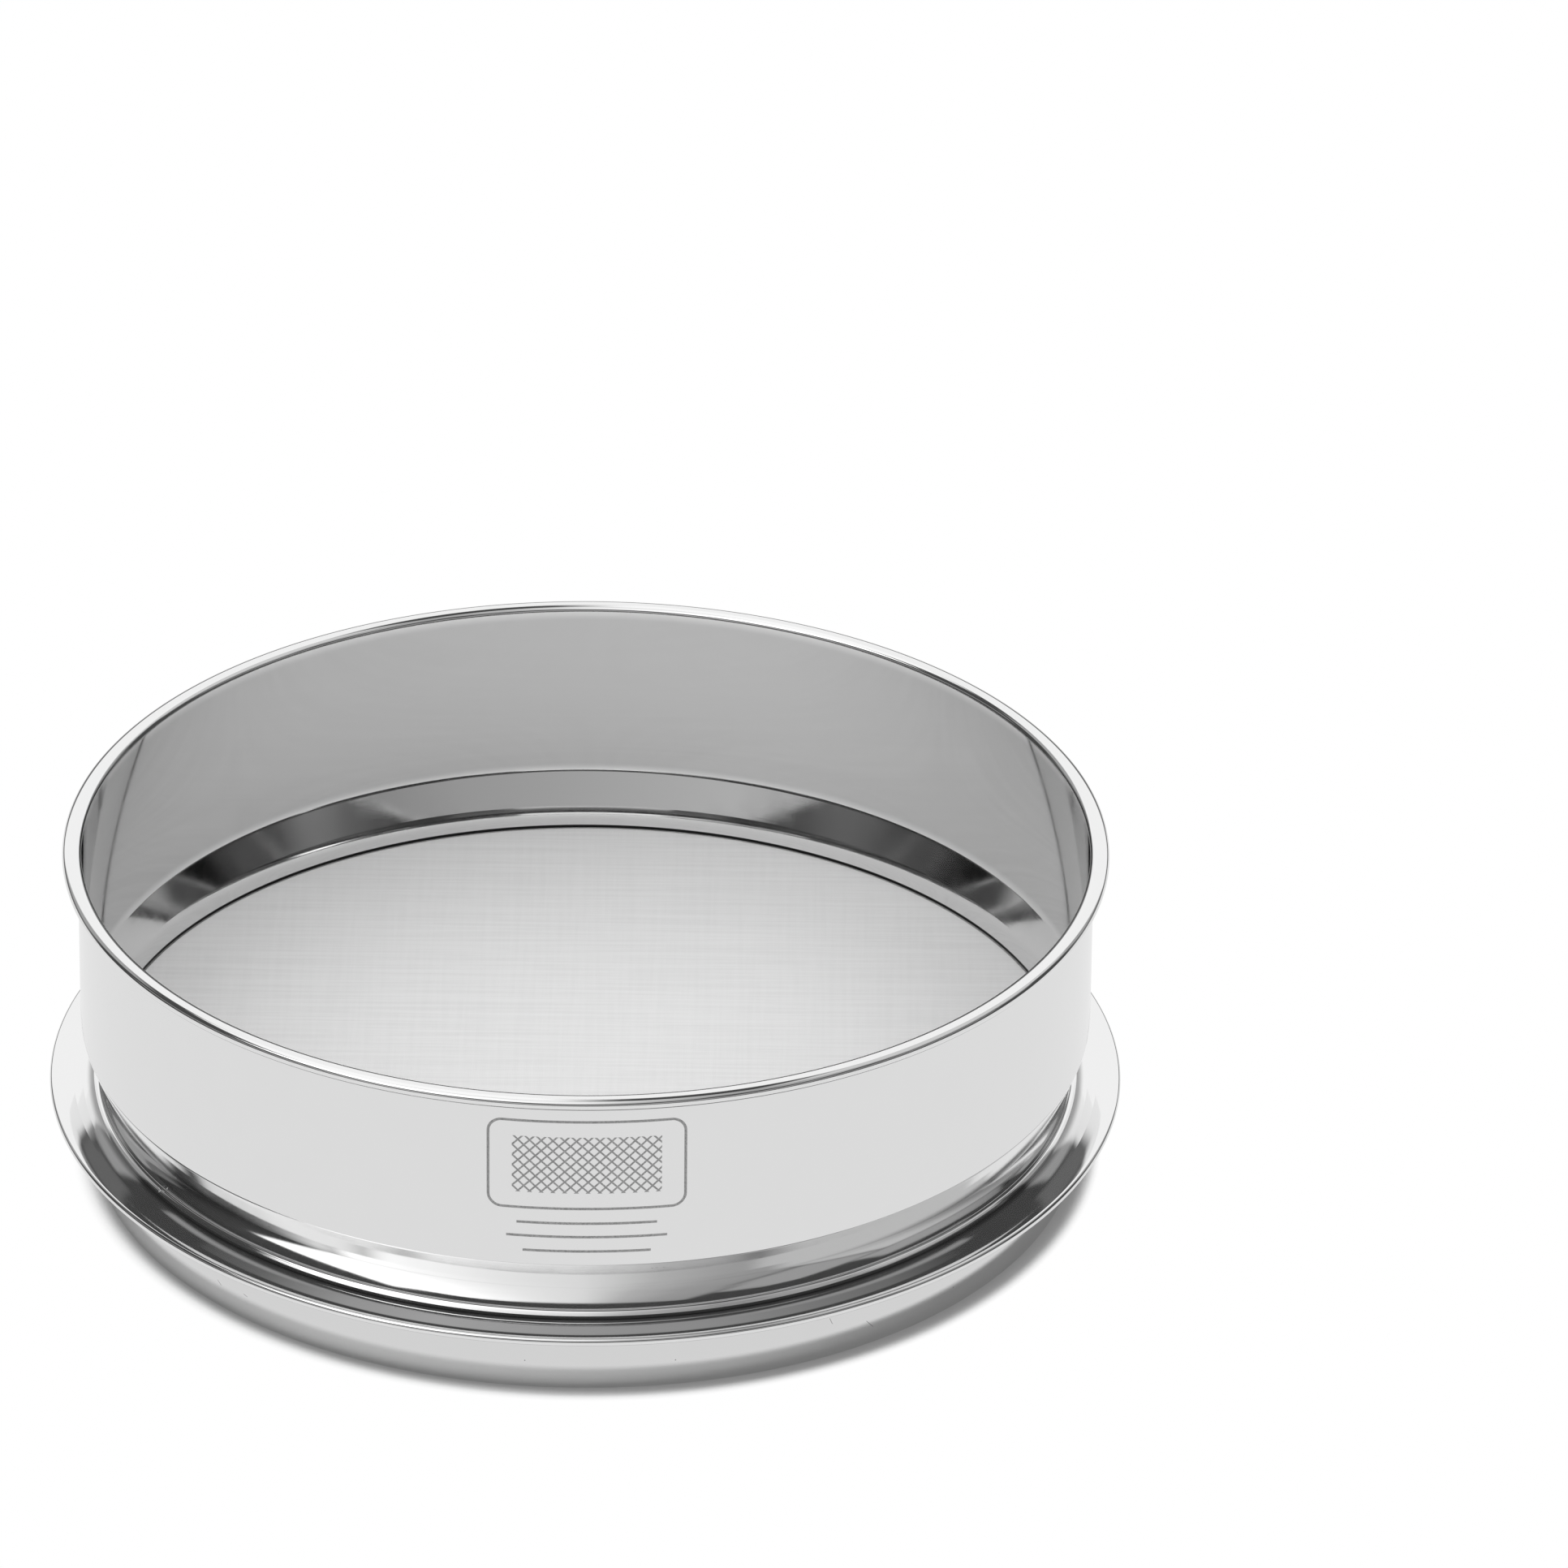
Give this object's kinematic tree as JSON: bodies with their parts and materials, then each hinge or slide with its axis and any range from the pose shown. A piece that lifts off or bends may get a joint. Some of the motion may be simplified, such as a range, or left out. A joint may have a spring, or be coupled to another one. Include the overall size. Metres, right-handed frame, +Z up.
{
  "type": "test sieve",
  "caption": "Round stainless test sieve: spun frame with a rolled rim, fine woven wire cloth stretched across its neck, and a flanged skirt that nests in the next one.",
  "frame": {"origin": "on the axis, in the plane of the skirt's bottom edge, which the sieve stands on", "axes": "+Z up along the sieve's axis, from the skirt to the rolled rim; X and Y are alike"},
  "size_m": [0.214, 0.214, 0.0671],
  "materials": {
    "polished_steel": "polished stainless sheet with faint spinning lines",
    "wire_cloth": "fine plain-woven stainless wire, satin"
  },
  "bodies": {
    "root": {"frame": "polished_steel", "cloth": "wire_cloth", "skirt_ring": "polished_steel"}
  },
  "joints": []
}
